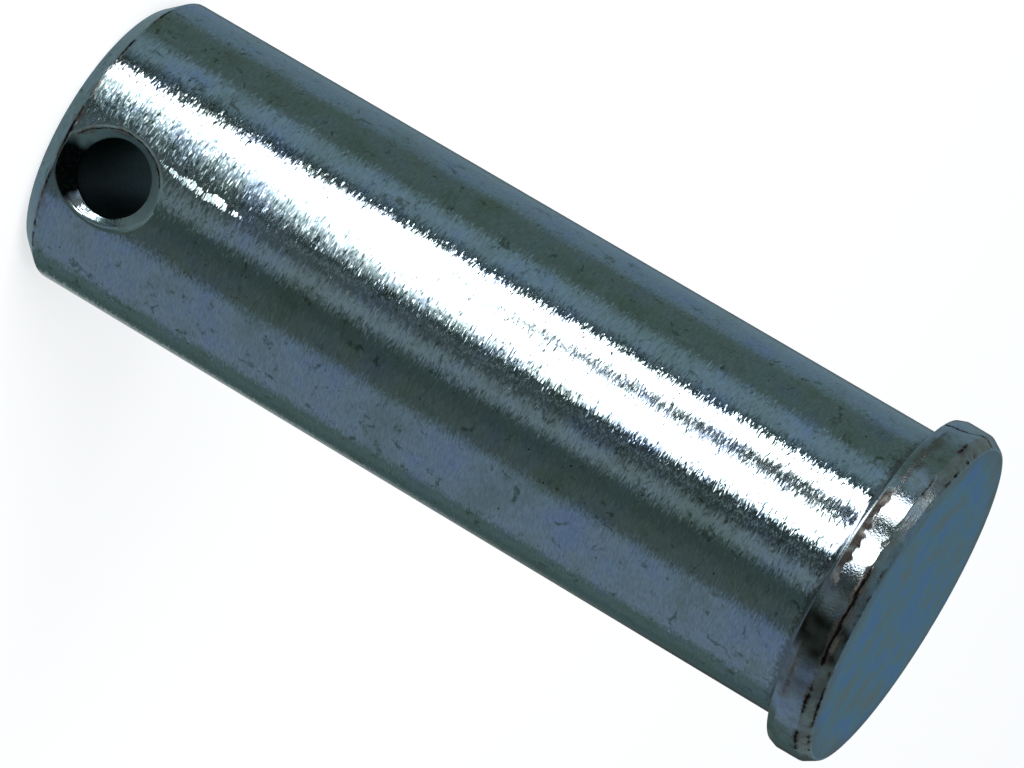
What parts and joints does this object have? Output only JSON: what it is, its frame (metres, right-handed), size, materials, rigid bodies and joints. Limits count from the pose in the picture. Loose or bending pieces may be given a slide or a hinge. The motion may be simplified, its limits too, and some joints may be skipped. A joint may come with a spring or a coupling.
{
  "type": "coupling pin",
  "caption": "Headed coupling pin: plain round shank with a thin flanged head, a chamfered tail and a countersunk cross hole near the tail for a split pin.",
  "frame": {"origin": "centre of the tail end face, on which the pin stands", "axes": "+Z along the pin's axis, from the tail to the head; the cross hole runs along Y"},
  "size_m": [0.0288, 0.0288, 0.075],
  "materials": {
    "zinc_plated_steel": "bright zinc plate over turned bar, with fine marks running round the shank"
  },
  "bodies": {
    "root": {"coupling_pin": "zinc_plated_steel"}
  },
  "joints": []
}
